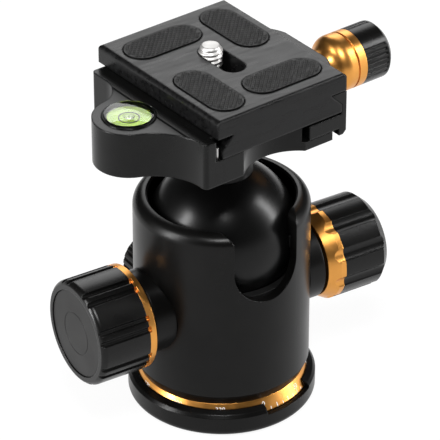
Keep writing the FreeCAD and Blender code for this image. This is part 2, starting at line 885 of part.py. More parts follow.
def make_friction_knob():
    back = S.friction_collar_end + S.knob_to_collar
    grip_start = back + S.friction_ring_thick
    cap_floor = S.friction_face - S.friction_cap_recess - S.friction_cap_thick
    flute_centre = S.friction_grip_radius + S.friction_flute_radius - S.friction_flute_depth
    turns = (180 + FRICTION_FLUTE_TURN,)
    ring = turned("friction_ring", [
        (S.friction_shaft_radius, back),
        (S.friction_ring_back, back),
        (S.friction_ring_radius, back + S.friction_ring_bevel),
        (S.friction_ring_radius, grip_start),
        (S.friction_shaft_radius, grip_start),
    ])
    fluted(ring, "friction_ring", FRICTION_FLUTES, turns, flute_centre, S.friction_flute_radius)
    keep(place(ring, (0, 0, S.knob_axis), TO_RIGHT), "friction_gold_ring")

    grip = turned("friction_grip_turned", [
        (S.friction_shaft_radius, grip_start),
        (S.friction_grip_radius, grip_start),
        (S.friction_grip_radius, S.friction_face - S.friction_face_bevel),
        (S.friction_face_radius, S.friction_face),
        (S.friction_cap_radius, S.friction_face),
        (S.friction_cap_radius, cap_floor),
        (S.friction_shaft_radius, cap_floor),
    ])
    fluted(grip, "friction_grip", FRICTION_FLUTES, turns, flute_centre, S.friction_flute_radius)
    keep(place(grip, (0, 0, S.knob_axis), TO_RIGHT), "friction_grip")

    cap = end_cap("friction_cap", S.friction_cap_radius, cap_floor, S.friction_cap_thick)
    keep(place(cap, (0, 0, S.knob_axis), TO_RIGHT), "friction_end_cap")
    shaft = rod("friction_rod", S.friction_shaft_radius, S.friction_collar_end - S.plunger_sink, cap_floor)
    keep(place(shaft, (0, 0, S.knob_axis), TO_RIGHT), "friction_shaft")


def make_pan_knob():
    pad_start = S.post_radius + S.pan_pad_gap
    pad_end = pad_start + S.pan_pad_length
    pad_place = (0, pad_start, S.pan_axis)
    pad_radius = S.pan_screw_radius - S.running_gap
    keep(cylinder("pan_pad_rod", pad_radius, S.pan_pad_length, pad_place, TO_REAR), "pan_pad")
    screw = rod("pan_rod", S.pan_screw_radius, pad_end, S.pan_knob_start)
    keep(place(screw, (0, 0, S.pan_axis), TO_REAR), "pan_screw")
    grip = turned("pan_grip_turned", [
        (0, S.pan_knob_start),
        (S.pan_screw_radius, S.pan_knob_start),
        (S.pan_screw_radius, S.housing_radius + S.knob_to_collar),
        (S.pan_neck_radius, S.housing_radius + S.knob_to_collar),
        (S.pan_neck_radius, S.pan_knob_start),
        (S.pan_knob_radius - S.pan_knob_bevel, S.pan_knob_start),
        (S.pan_knob_radius, S.pan_knob_start + S.pan_knob_bevel),
        (S.pan_knob_radius, S.pan_knob_end - S.pan_knob_bevel),
        (S.pan_knob_radius - S.pan_knob_bevel, S.pan_knob_end),
        (0, S.pan_knob_end),
    ])
    fluted(grip, "pan_grip", PAN_FLUTES, (0,), S.pan_knob_radius, S.pan_flute_radius)
    keep(place(grip, (0, 0, S.pan_axis), TO_REAR), "pan_grip")


# Clamp body with its fixed jaw, level lobe and rails


def lobe_blend(radius):
    """How far from the lobe's middle a hollow arc leaves the clamp's side, and where it meets the lobe."""
    across = radius + S.clamp_side - S.lobe_x
    reach = radius + S.lobe_radius
    along = leg(reach, across)
    return along, S.lobe_radius * across / reach, S.lobe_radius * along / reach


def clamp_outline(right):
    """Plan of the clamp: its left side swells into the lobe that carries the spirit level."""
    corner = S.corner_round
    front, front_out, front_along = lobe_blend(S.lobe_front_blend)
    back, back_out, back_along = lobe_blend(S.lobe_back_blend)
    return [
        (-S.clamp_side, -S.clamp_front + corner, corner, -1),
        (-S.clamp_side + corner, -S.clamp_front),
        (right, -S.clamp_front),
        (right, S.clamp_back),
        (-S.clamp_side + corner, S.clamp_back, corner, -1),
        (-S.clamp_side, S.clamp_back - corner),
        (-S.clamp_side, S.lobe_y + back, S.lobe_back_blend, 1),
        (-S.lobe_x - back_out, S.lobe_y + back_along, S.lobe_radius, -1),
        (-S.lobe_x - S.lobe_radius, S.lobe_y, S.lobe_radius, -1),
        (-S.lobe_x - front_out, S.lobe_y - front_along, S.lobe_front_blend, 1),
        (-S.clamp_side, S.lobe_y - front),
    ]


def make_clamp():
    left_end = (-S.lobe_x * 2, -S.clamp_front, S.lobe_top)
    lobe_end = (-S.clamp_side - S.lobe_step, S.clamp_front, S.plate_top)
    floor = raised("clamp_floor_block", [clamp_outline(S.floor_edge)], S.clamp_bottom, S.clamp_floor)
    wall = raised("clamp_wall_block", [clamp_outline(-S.wall_edge)], S.clamp_bottom, S.jaw_top)
    rail = box("rail", (0, -S.clamp_front, S.clamp_bottom), (S.rail_edge, S.clamp_back, S.rail_top))
    boss = box("boss", (0, -S.boss_half, S.clamp_bottom), (S.boss_edge, S.boss_half, S.clamp_floor))
    block = joined("clamp_block", [floor, wall, rail, boss])

    relief_start = (-S.jaw_relief_edge, -S.clamp_front - S.over, S.clamp_floor)
    scoop_place = (-S.scoop_x, -S.clamp_front - S.scoop_radius + S.scoop_depth, 0)
    screw_place = (S.clamp_screw_end - S.clamp_screw_room, 0, S.clamp_axis)
    head_seat = S.clamp_floor - S.neck_screw_sink - S.neck_screw_head
    head_room = S.neck_screw_head_radius + S.slide_gap
    screw_bore = S.clamp_screw_radius + S.running_gap
    stop_place = (-S.stop_pin_x, -S.stop_pin_y, S.clamp_floor - S.stop_pin_depth)
    vial_place = (-S.lobe_x, S.lobe_y, S.lobe_top - S.vial_depth)
    tools = [
        box("lobe_cut", left_end, lobe_end),
        drawn_along_y("dovetail_groove", dovetail_room(), S.clamp_front + S.over, S.clamp_back + S.over),
        box("jaw_relief_cut", relief_start, (0, -S.clamp_front + S.jaw_relief, S.plate_top)),
        cylinder("scoop", S.scoop_radius, S.clamp_floor * 2, scoop_place),
        cylinder("clamp_screw_bore", screw_bore, S.boss_edge, screw_place, TO_RIGHT),
        cylinder("neck_screw_seat", head_room, S.neck_screw_head * 2, (0, 0, head_seat)),
        cylinder("neck_screw_hole", S.neck_screw_radius + S.slide_gap, S.clamp_floor),
        cylinder("vial_pocket", S.vial_radius + S.level_ring_wall, S.vial_depth * 2, vial_place),
        cylinder("stop_pin_hole", S.stop_pin_radius, S.stop_pin_depth + S.over, stop_place),
    ]
    pin_start = S.floor_edge - S.guide_pin_depth
    pin_places = [(pin_start, S.guide_pin_y * side, S.guide_pin_height) for side in (-1, 1)]
    for at in pin_places:
        tools.append(cylinder("guide_hole", S.guide_pin_radius, S.guide_pin_depth + S.over, at, TO_RIGHT))
    keep_on_clamp(carved("clamp_cut", block, tools), "clamp_body")

    group = doc.addObject("Part::Compound", "guide_rods")
    length = S.guide_pin_end - pin_start
    group.Links = [cylinder("guide_rod", S.guide_pin_radius, length, at, TO_RIGHT) for at in pin_places]
    keep_on_clamp(group, "guide_pins")
    stop_length = S.stop_pin_top - S.clamp_floor + S.stop_pin_depth
    keep_on_clamp(cylinder("stop_rod", S.stop_pin_radius, stop_length, stop_place), "stop_pin")


def hook_foot():
    """Height at which the jaws' sloping hooks start, with the plate's flank a sliding gap away."""
    return S.foot_top + S.slide_gap * (math.sqrt(2) - 1)


def hook_edge():
    """How far from the middle the sloping hooks end, at their top."""
    return S.foot_half + S.slide_gap + hook_foot() - S.jaw_top


def dovetail_room():
    """The space that the plate's foot takes in the clamp, with its sliding gap."""
    gap = S.slide_gap
    hook = hook_edge()
    return [
        (-S.foot_half - gap, S.clamp_floor),
        (S.clamp_side, S.clamp_floor),
        (S.clamp_side, S.plate_top),
        (-hook, S.plate_top),
        (-hook, S.jaw_top),
        (-S.foot_half - gap, hook_foot()),
    ]


def make_jaw():
    """The moving jaw: a hooked wall, two sliders under the plate and a bulge for the screw."""
    gap = S.slide_gap
    bar = drawn_along_y("jaw_bar", [
        (S.jaw_slider_edge, S.jaw_slider_bottom),
        (S.jaw_web, S.jaw_slider_bottom),
        (S.jaw_web, S.jaw_bottom),
        (S.jaw_side - S.jaw_foot_bevel, S.jaw_bottom),
        (S.jaw_side, S.jaw_bottom + S.jaw_foot_bevel),
        (S.jaw_side, S.jaw_top),
        (hook_edge(), S.jaw_top),
        (S.foot_half + gap, hook_foot()),
        (S.foot_half + gap, S.jaw_slider_top),
        (S.jaw_slider_edge, S.jaw_slider_top),
    ], S.clamp_front, S.clamp_back)
    half = S.jaw_bulge_half
    wide = half + S.jaw_bulge_blend
    bulge = raised("jaw_bulge_block", [[
        (S.foot_half + gap, -wide),
        (S.jaw_side, -wide, S.jaw_bulge_round, -1),
        (S.jaw_bulge, -half),
        (S.jaw_bulge, half, S.jaw_bulge_round, -1),
        (S.jaw_side, wide),
        (S.foot_half + gap, wide),
    ]], S.jaw_bottom, S.jaw_top)
    whole = joined("jaw_whole", [bar, bulge])
    arm = S.boss_half + S.jaw_arm_gap
    bore = S.clamp_screw_radius + gap
    tools = [
        box("jaw_gap", (0, -arm, S.clamp_bottom), (S.jaw_arm_end, arm, S.plate_bottom - gap)),
        cylinder("jaw_bore", bore, S.jaw_bulge, (S.boss_edge, 0, S.clamp_axis), TO_RIGHT),
    ]
    for side in (-1, 1):
        at = (0, S.guide_pin_y * side, S.guide_pin_height)
        tools.append(cylinder("jaw_guide_hole", S.guide_pin_radius + gap, S.jaw_wall, at, TO_RIGHT))
    keep_on_clamp(carved("jaw_cut", whole, tools), "jaw")


def make_clamp_knob():
    hub_start = S.jaw_bulge + S.hub_gap
    groove_end = S.hub_groove + S.hub_groove_width
    groove_radius = S.hub_radius - S.hub_groove_depth
    hollow = rising_radius(S.hub_waist - S.hub_neck_end, S.hub_waist_radius - S.hub_neck_radius)
    swell = rising_radius(S.hub_shoulder - S.hub_waist, S.hub_radius - S.hub_waist_radius)
    hub = turned("hub_turned", [
        (S.clamp_screw_radius, hub_start),
        (S.hub_neck_radius, hub_start),
        (S.hub_neck_radius, S.hub_neck_end, hollow, 1),
        (S.hub_waist_radius, S.hub_waist, swell, -1),
        (S.hub_radius, S.hub_shoulder),
        (S.hub_radius, S.hub_groove),
        (groove_radius, S.hub_groove),
        (groove_radius, groove_end),
        (S.hub_radius, groove_end),
        (S.hub_radius, S.hub_end),
        (S.clamp_screw_radius, S.hub_end),
    ])
    keep_on_clamp(place(hub, (0, 0, S.clamp_axis), TO_RIGHT), "clamp_hub")

    cap_floor = S.clamp_grip_end - S.clamp_cap_thick
    grip = turned("clamp_grip_turned", [
        (S.clamp_screw_radius, S.hub_end),
        (S.clamp_grip_radius, S.hub_end),
        (S.clamp_grip_radius, S.clamp_grip_end - S.clamp_grip_bevel),
        (S.clamp_grip_radius - S.clamp_grip_bevel, S.clamp_grip_end),
        (S.clamp_cap_radius, S.clamp_grip_end),
        (S.clamp_cap_radius, cap_floor),
        (S.clamp_screw_radius, cap_floor),
    ])
    middle = (CLAMP_GROOVES - 1) / 2
    turns = [180 - CLAMP_GROUP_TURN + (i - middle) * CLAMP_GROOVE_PITCH for i in range(CLAMP_GROOVES)]
    start = S.clamp_grip_end - S.clamp_grip_bevel - S.clamp_flute_start
    length = start - S.hub_end
    fluted(grip, "clamp_grip", CLAMP_GROUPS, turns, S.clamp_grip_radius, S.clamp_flute_radius, start, length)
    keep_on_clamp(place(grip, (0, 0, S.clamp_axis), TO_RIGHT), "clamp_grip")

    cap_thick = S.clamp_cap_thick - S.clamp_cap_recess
    cap = cylinder("clamp_cap_disc", S.clamp_cap_radius, cap_thick, (cap_floor, 0, S.clamp_axis), TO_RIGHT)
    keep_on_clamp(cap, "clamp_end_cap")
    bevel = S.clamp_screw_bevel
    screw = turned("clamp_screw_turned", [
        (0, S.clamp_screw_end),
        (S.clamp_screw_radius - bevel, S.clamp_screw_end),
        (S.clamp_screw_radius, S.clamp_screw_end + bevel),
        (S.clamp_screw_radius, cap_floor),
        (0, cap_floor),
    ])
    keep_on_clamp(place(screw, (0, 0, S.clamp_axis), TO_RIGHT), "clamp_screw")


def make_level():
    floor = S.lobe_top - S.vial_depth
    top = S.lobe_top + S.vial_proud
    inner = S.vial_radius - S.vial_wall
    ring = turned("level_ring_turned", [
        (S.vial_radius, floor),
        (S.vial_radius + S.level_ring_wall, floor),
        (S.vial_radius + S.level_ring_wall, S.lobe_top + S.level_ring_proud - S.level_ring_slope),
        (S.vial_radius, S.lobe_top + S.level_ring_proud),
    ])
    keep_on_clamp(place(ring, (-S.lobe_x, S.lobe_y, 0)), "level_ring")
    dome = (S.vial_radius * S.vial_radius + S.vial_dome * S.vial_dome) / (S.vial_dome * 2)
    inner_dome = (inner * inner + S.vial_dome * S.vial_dome) / (S.vial_dome * 2)
    vial = turned("vial_turned", [
        (0, floor),
        (S.vial_radius, floor),
        (S.vial_radius, top, dome, -1),
        (0, top + S.vial_dome),
        (0, top - S.vial_wall, inner_dome, 1),
        (inner, top - S.vial_wall - S.vial_dome),
        (inner, floor + S.vial_wall),
        (0, floor + S.vial_wall),
    ])
    keep_on_clamp(place(vial, (-S.lobe_x, S.lobe_y, 0)), "level_vial")
    fluid = turned("fluid_turned", [
        (0, floor + S.vial_wall),
        (inner, floor + S.vial_wall),
        (inner, top - S.vial_wall - S.vial_dome * 2),
        (0, top - S.vial_wall - S.vial_dome * 2),
    ])
    keep_on_clamp(place(fluid, (-S.lobe_x, S.lobe_y, 0)), "level_fluid")


# Quick-release plate, its pads and the camera screw


def plate_section():
    edge = S.flange_round
    flank_top = S.foot_top + (S.foot_half - S.neck_half)
    return [
        (-S.foot_half, S.plate_bottom),
        (S.foot_half, S.plate_bottom),
        (S.foot_half, S.foot_top),
        (S.neck_half, flank_top),
        (S.neck_half, S.flange_bottom),
        (S.plate_half, S.flange_bottom),
        (S.plate_half, S.plate_top - edge, edge, -1),
        (S.plate_half - edge, S.plate_top),
        (-S.plate_half + edge, S.plate_top, edge, -1),
        (-S.plate_half, S.plate_top - edge),
        (-S.plate_half, S.flange_bottom),
        (-S.neck_half, S.flange_bottom),
        (-S.neck_half, flank_top),
        (-S.foot_half, S.foot_top),
    ]


def stadium(x, y, half_long, half_wide, along_x):
    """Outline of a slot with round ends, about a centre."""
    x, y = sized(x), sized(y)
    reach = half_long - half_wide
    if along_x:
        return [
            (x - reach, y - half_wide),
            (x + reach, y - half_wide, half_wide, -1),
            (x + half_long, y, half_wide, -1),
            (x + reach, y + half_wide),
            (x - reach, y + half_wide, half_wide, -1),
            (x - half_long, y, half_wide, -1),
        ]
    return [
        (x + half_wide, y - reach),
        (x + half_wide, y + reach, half_wide, -1),
        (x, y + half_long, half_wide, -1),
        (x - half_wide, y + reach),
        (x - half_wide, y - reach, half_wide, -1),
        (x, y - half_long, half_wide, -1),
    ]


def pad_places():
    """Four pads in a pinwheel: two lie across the ends and two along the sides."""
    long_half = S.long_pad / 2
    side_half = S.side_pad / 2
    return [
        ("pad_rear", -S.long_pad_x, S.long_pad_y, long_half, True),
        ("pad_right", S.side_pad_x, S.side_pad_y, side_half, False),
        ("pad_front", S.long_pad_x, -S.long_pad_y, long_half, True),
        ("pad_left", -S.side_pad_x, -S.side_pad_y, side_half, False),
    ]


def plate_side():
    """The plate seen from its side, with both ends rounded at the top."""
    half = S.plate_length / 2
    edge = S.end_round
    return [
        (-half, S.plate_bottom - S.over),
        (half, S.plate_bottom - S.over),
        (half, S.plate_top - edge, edge, -1),
        (half - edge, S.plate_top),
        (-half + edge, S.plate_top, edge, -1),
        (-half, S.plate_top - edge),
    ]


def make_plate():
    half_length = S.plate_length / 2
    bar = drawn_along_y("plate_bar", plate_section(), half_length, half_length)
    side_view = doc.addObject("PartDesign::Body", "plate_side_view")
    sketch = new_sketch(side_view, "plate_side_outline", "YZ_Plane", -S.plate_half)
    draw(sketch, plate_side())
    solid = side_view.newObject("PartDesign::Pad", "plate_side_pad")
    solid.Profile = sketch
    bind(solid, "Length", S.plate_half * 2)
    side_view.Tip = solid
    blank = shared("plate_blank", [bar, side_view])

    bottom = S.plate_bottom - S.over
    top = S.plate_top + S.over
    slot = stadium(0, 0, S.screw_slot_half + S.screw_slot_reach, S.screw_slot_half, False)
    room = stadium(0, 0, S.head_room_half + S.screw_slot_reach, S.head_room_half, False)
    tools = [
        raised("plate_slot", [slot], bottom, top),
        raised("head_room", [room], bottom, S.head_room_top),
    ]
    half_wide = S.pad_width / 2
    for name, x, y, half, along_x in pad_places():
        outline = stadium(x, y, half, half_wide, along_x)
        tools.append(raised(name + "_recess", [outline], S.plate_top - S.pad_depth, top))
    keep_on_clamp(carved("plate_cut", blank, tools), "plate")

    for name, x, y, half, along_x in pad_places():
        outline = stadium(x, y, half - S.pad_gap, half_wide - S.pad_gap, along_x)
        pad = raised(name + "_block", [outline], S.plate_top - S.pad_depth, S.plate_top + S.pad_proud)
        keep_on_clamp(pad, name)


def make_camera_screw():
    y = S.screw_slot_reach
    head_top = S.camera_head_bottom + S.camera_head
    clip_top = head_top + S.clip_thick
    screw = turned("camera_screw_turned", [
        (0, S.camera_head_bottom),
        (S.camera_head_radius, S.camera_head_bottom),
        (S.camera_head_radius, head_top),
        (S.camera_neck_radius, head_top),
        (S.camera_neck_radius, S.camera_thread_start),
        (S.camera_thread_radius, S.camera_thread_start + S.camera_thread_bevel),
        (S.camera_thread_radius, S.camera_thread_top - S.camera_tip),
        (S.camera_tip_radius, S.camera_thread_top),
        (0, S.camera_thread_top),
    ])
    across = S.camera_head_radius + S.over
    low = (-across, -S.coin_slot / 2, S.camera_head_bottom - S.over)
    high = (across, S.coin_slot / 2, S.camera_head_bottom + S.coin_slot_depth)
    whole = carved("camera_screw_cut", screw, [box("coin_slot_cut", low, high)])
    keep_on_clamp(place(whole, (0, y, 0)), "camera_screw")
    clip = turned("clip_turned", [
        (S.camera_neck_radius + S.running_gap, head_top + S.face_gap),
        (S.clip_radius, head_top + S.face_gap),
        (S.clip_radius, clip_top),
        (S.camera_neck_radius + S.running_gap, clip_top),
    ])
    keep_on_clamp(place(clip, (0, y, 0)), "screw_clip")


def check_and_write():
    doc.recompute()
    faulty = [item.Label for item in doc.Objects if {"Invalid", "Error"} & set(item.State)]
    if faulty:
        raise RuntimeError(f"not built: {faulty}")
    os.makedirs("parts", exist_ok=True)
    for item in parts:
        shape = item.Shape
        if shape.isNull() or not shape.isValid() or not shape.Solids:
            raise RuntimeError(f"{item.Label} has no valid solid")
        print(f"{item.Label:20s} solids {len(shape.Solids)} volume {shape.Volume:10.1f}")
    for item in parts:
        item.Shape.exportStep(f"parts/{item.Label}.step")


make_base()
make_housing()
make_collar("main", TO_LEFT, "main_collar", S.main_collar_end)
make_collar("friction", TO_RIGHT, "friction_collar", S.friction_collar_end)
make_ball()
make_cup()
make_plungers()
make_main_knob()
make_friction_knob()
make_pan_knob()
make_clamp()
make_jaw()
make_clamp_knob()
make_level()
make_plate()
make_camera_screw()
check_and_write()
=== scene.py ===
# %% [markdown]
# # A tripod ball head
#
# A ball head holds a camera on a tripod. Its ball turns in a housing and is clamped by a large
# knob, and a quick-release plate slides into a clamp on top.
# The solids come from the frame, already in place and in their real sizes. This lesson gives them
# their finishes, adds the fine things that a camera close by would see, and sets up a small photo
# studio. Sizes are in metres, +Z is up, and the drop slot looks along -Y.

import math

import bmesh
import bpy
from mathutils import Matrix, Vector


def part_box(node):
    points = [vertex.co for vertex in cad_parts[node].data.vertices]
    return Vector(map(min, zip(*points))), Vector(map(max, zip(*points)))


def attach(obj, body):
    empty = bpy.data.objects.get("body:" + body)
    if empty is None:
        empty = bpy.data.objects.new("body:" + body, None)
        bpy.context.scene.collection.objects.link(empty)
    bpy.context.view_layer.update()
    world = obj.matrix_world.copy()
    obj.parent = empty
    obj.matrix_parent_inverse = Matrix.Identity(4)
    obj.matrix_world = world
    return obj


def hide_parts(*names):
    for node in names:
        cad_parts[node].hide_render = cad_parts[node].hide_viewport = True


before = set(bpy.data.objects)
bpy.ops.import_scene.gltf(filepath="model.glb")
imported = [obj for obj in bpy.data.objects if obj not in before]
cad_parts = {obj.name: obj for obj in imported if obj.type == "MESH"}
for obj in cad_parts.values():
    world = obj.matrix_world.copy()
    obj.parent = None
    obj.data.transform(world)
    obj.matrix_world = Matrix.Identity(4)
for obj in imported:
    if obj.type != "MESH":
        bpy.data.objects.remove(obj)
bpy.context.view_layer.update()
MM = 0.001

# %% [markdown]
# ## Sizes that the pieces share
#
# The clamp is turned a little on the ball, so the plate and all that lies on it share one turn.
# The scale ring is a cone, given here by its lower and upper edge. Other sizes are read from the
# frame where a piece is made, so that it sits where its neighbour is.

# %% Shared sizes
CLAMP_TURN = math.radians(5.7)
TURN = Matrix.Rotation(CLAMP_TURN, 4, "Z")
RING_LOW_RADIUS, RING_LOW = 23.45 * MM, 5.15 * MM
RING_TOP_RADIUS, RING_TOP = 21.9 * MM, 8.4 * MM
LEVEL = TURN @ Vector((-30 * MM, -1 * MM, 0))
SCREW_AXIS = TURN @ Vector((0, 4.6 * MM, 0))
KNOB_AXIS = 31.6 * MM
print("clamp turn in degrees:", round(math.degrees(CLAMP_TURN), 2))


# %% [markdown]
# ## Finishes
#
# The real head is blasted and anodised aluminium, black with gold rings, and its screws are steel.
# Such a finish could come from a photo wrapped round each piece, but that needs unwrapping and
# shows its seams. Here every finish is a small node tree instead: a base colour that varies a
# little, a roughness that varies more, and a fine bump. All of them read object coordinates, so
# they fit any shape. Real edges are never quite sharp, so the shader rounds them by a fraction of a
# millimetre with a Bevel node, which costs no geometry.

# %% Finish builder
NOISE_LOW, NOISE_HIGH = 0.3, 0.7


class Finish:
    """A material with a Principled shader and a few helpers to add nodes to it."""

    def __init__(self, name, colour, roughness, metallic=0.0):
        self.material = bpy.data.materials.new(name)
        self.material.use_nodes = True
        self.tree = self.material.node_tree
        self.shader = next(n for n in self.tree.nodes if n.type == "BSDF_PRINCIPLED")
        self.shader.inputs["Base Color"].default_value = (*colour, 1)
        self.shader.inputs["Roughness"].default_value = roughness
        self.shader.inputs["Metallic"].default_value = metallic
        self.material.diffuse_color = (*colour, 1)
        self.colour = colour
        self.coordinates = self.node("ShaderNodeTexCoord").outputs["Object"]

    def node(self, kind, **settings):
        made = self.tree.nodes.new(kind)
        for key, value in settings.items():
            setattr(made, key, value)
        return made

    def link(self, start, end):
        self.tree.links.new(start, end)

    def noise(self, scale, stretch=(1, 1, 1), detail=3.0, turn=0.0):
        mapping = self.node("ShaderNodeMapping")
        mapping.inputs["Scale"].default_value = stretch
        mapping.inputs["Rotation"].default_value = (0, 0, turn)
        self.link(self.coordinates, mapping.inputs["Vector"])
        noise = self.node("ShaderNodeTexNoise")
        noise.inputs["Scale"].default_value = scale
        noise.inputs["Detail"].default_value = detail
        self.link(mapping.outputs["Vector"], noise.inputs["Vector"])
        return noise.outputs["Fac"]

    def spread(self, value, low, high):
        """Maps the range where most of a noise lies to low..high."""
        node = self.node("ShaderNodeMapRange")
        node.inputs["From Min"].default_value = NOISE_LOW
        node.inputs["From Max"].default_value = NOISE_HIGH
        node.inputs["To Min"].default_value = low
        node.inputs["To Max"].default_value = high
        self.link(value, node.inputs["Value"])
        return node.outputs["Result"]

    def vary_roughness(self, value, low, high):
        self.link(self.spread(value, low, high), self.shader.inputs["Roughness"])

    def vary_colour(self, value, darker, lighter):
        ramp = self.node("ShaderNodeMix", data_type="RGBA")
        ramp.inputs["A"].default_value = (*[c * darker for c in self.colour], 1)
        ramp.inputs["B"].default_value = (*[min(c * lighter, 1) for c in self.colour], 1)
        self.link(self.spread(value, 0, 1), ramp.inputs["Factor"])
        self.link(ramp.outputs["Result"], self.shader.inputs["Base Color"])

    def round_edges(self, radius):
        """Blends the normals on both sides of an edge, so that it catches a line of light."""
        node = self.node("ShaderNodeBevel", samples=6)
        node.inputs["Radius"].default_value = radius
        return node.outputs["Normal"]

    def bump(self, height, distance, strength=1.0, edge=0.0):
        node = self.node("ShaderNodeBump")
        if edge:
            self.link(self.round_edges(edge), node.inputs["Normal"])
        node.inputs["Distance"].default_value = distance
        node.inputs["Strength"].default_value = strength
        self.link(height, node.inputs["Height"])
        self.link(node.outputs["Normal"], self.shader.inputs["Normal"])


def coated(name, colour, roughness, grain=3000, depth=0.006, edge=0.3, shine=0.16):
    """Black anodising or paint: fine grain, slightly uneven gloss and a soft, dark shine."""
    finish = Finish(name, colour, roughness)
    finish.shader.inputs["Specular IOR Level"].default_value = shine
    finish.vary_roughness(finish.noise(70), roughness * 0.88, roughness * 1.12)
    finish.vary_colour(finish.noise(150), 0.8, 1.2)
    finish.bump(finish.noise(grain), depth * MM, 0.35, edge * MM)
    return finish


def metal(name, colour, roughness, grain=2500, depth=0.0012, edge=0.2):
    """Bare or anodised metal: a clean reflection with a little life in it."""
    finish = Finish(name, colour, roughness, 1.0)
    finish.vary_roughness(finish.noise(260), roughness * 0.85, roughness * 1.15)
    finish.vary_colour(finish.noise(180), 0.93, 1.07)
    finish.bump(finish.noise(grain), depth * MM, 0.3, edge * MM)
    return finish


# %% [markdown]
# ### The finishes themselves
#
# A black that looks black needs more than a dark colour. Its shine adds a grey of its own, so the
# specular level is low too, and a fairly smooth surface then keeps the highlights narrow. The
# knobs shine a little more than the housing, and their end caps are duller and lighter.

# %% Finishes of the ball head
housing_black = coated("housing_black", (0.0028, 0.0027, 0.0026), 0.3)
base_black = coated("base_black", (0.0026, 0.0025, 0.0024), 0.28)
clamp_black = coated("clamp_black", (0.003, 0.003, 0.0029), 0.28, grain=2400, edge=0.6, shine=0.2)
knob_black = coated("knob_black", (0.0032, 0.0031, 0.003), 0.28, shine=0.22)
cap_black = coated("cap_black", (0.012, 0.0118, 0.0116), 0.42)
ball_black = coated("ball_black", (0.0022, 0.0022, 0.0022), 0.29, depth=0.003, shine=0.2)
gold = metal("gold_anodised", (0.7, 0.32, 0.075), 0.34)
steel = metal("turned_steel", (0.5, 0.49, 0.48), 0.3)
screw_steel = metal("screw_steel", (0.55, 0.54, 0.53), 0.5)
polymer = coated("white_polymer", (0.7, 0.69, 0.66), 0.45)
dark_polymer = coated("dark_polymer", (0.008, 0.008, 0.008), 0.45)
rubber = Finish("pad_rubber", (0.0035, 0.0035, 0.0035), 0.5)
rubber.shader.inputs["Specular IOR Level"].default_value = 0.2
plate_grey = Finish("plate_grey", (0.0038, 0.0038, 0.0039), 0.34)
plate_grey.shader.inputs["Specular IOR Level"].default_value = 0.2
ink = coated("white_ink", (0.85, 0.84, 0.8), 0.5, depth=0.004, edge=0)
print("finishes:", len(bpy.data.materials))

# %% [markdown]
# ### Rubber and the brushed plate
#
# The rubber only needs a dull, uneven skin, because its studs are made as geometry further down.
# The plate is brushed along one way. A wave pattern would give even stripes, and real brushing is
# uneven, so a noise is stretched that way and turned with the plate.

# %% Pads and plate
rubber.vary_roughness(rubber.noise(700), 0.42, 0.58)
rubber.vary_colour(rubber.noise(400), 0.8, 1.25)
rubber.bump(rubber.noise(2500), 0.01 * MM, 0.5)

streaks = plate_grey.noise(900, stretch=(0.15, 1, 1), detail=4, turn=-CLAMP_TURN)
plate_grey.vary_roughness(streaks, 0.24, 0.4)
plate_grey.vary_colour(streaks, 0.75, 1.3)
plate_grey.bump(streaks, 0.006 * MM, 0.4, 0.7 * MM)
print("rubber and plate finished")

# %% [markdown]
# ### Vial and liquid
#
# The bubble level is a clear vial over a lime liquid. Clear liquid with a coloured volume would be
# nearest to the real thing, but it renders slowly and noisily at this size. The liquid is
# therefore an opaque lime surface with a thin coat, and only the vial and the bubble let light
# through.

# %% Glass and liquid
glass = Finish("vial_clear", (0.97, 0.99, 0.95), 0.02)
glass.shader.inputs["Transmission Weight"].default_value = 1.0
glass.shader.inputs["IOR"].default_value = 1.3
glass.vary_roughness(glass.noise(400), 0.01, 0.03)
liquid = Finish("level_liquid", (0.36, 0.56, 0.025), 0.25)
liquid.shader.inputs["Coat Weight"].default_value = 0.2
liquid.vary_colour(liquid.noise(120), 0.95, 1.05)
target_black = coated("target_black", (0.01, 0.01, 0.01), 0.4, edge=0)
print("finishes in all:", len(bpy.data.materials))

# %% [markdown]
# ## Dressing the solids
#
# Each node keeps its shape and takes one of the finishes. One table from finish to nodes shows at
# a glance what is made of what, which a line for each node would hide. Pieces inside the head are
# dressed too, because they show when it is taken apart.

# %% Dress the nodes
DRESS = {
    housing_black: ["housing", "main_collar", "friction_collar"],
    base_black: ["pan_base"],
    clamp_black: ["clamp_body", "jaw", "level_ring"],
    knob_black: ["main_grip", "friction_grip", "pan_grip", "clamp_grip"],
    cap_black: ["main_end_cap", "friction_end_cap", "clamp_end_cap"],
    ball_black: ["ball", "neck"],
    gold: ["scale_ring", "main_gold_ring", "friction_gold_ring", "clamp_hub"],
    steel: ["thread_insert", "retaining_washer", "retaining_screw", "cup_spring", "cross_pin",
            "neck_screw", "main_wedge", "main_shaft", "friction_shaft", "pan_screw", "guide_pins",
            "stop_pin", "clamp_screw", "camera_screw", "screw_clip"],
    rubber: ["pad_rear", "pad_right", "pad_front", "pad_left"],
    plate_grey: ["plate"],
    polymer: ["bearing_washer", "friction_pad", "pan_pad"],
    dark_polymer: ["ball_cup", "upper_seat"],
    glass: ["level_vial"],
    liquid: ["level_fluid"],
}


def dress(obj, finish):
    if not obj.material_slots:
        obj.data.materials.append(finish.material)
    for slot in obj.material_slots:
        slot.material = finish.material


for finish, nodes in DRESS.items():
    for name in nodes:
        dress(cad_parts[name], finish)
print("dressed:", sum(len(nodes) for nodes in DRESS.values()))


# %% [markdown]
# ## Mesh helpers
#
# The threads, the level's rings and the caps are all round, so three helpers make most of them:
# one turns a section about an axis, one follows a helix, and one puts the faces between rings of
# vertices. Blender's own cylinders could be bent into these shapes, but a section written as
# points says plainly what the piece looks like when it is cut in half.

# %% Helpers
STEPS_PER_TURN = 12
FLANK_SLOPE, CREST_FLAT = 1.25, 0.12
FADED_DEPTH = 1.3


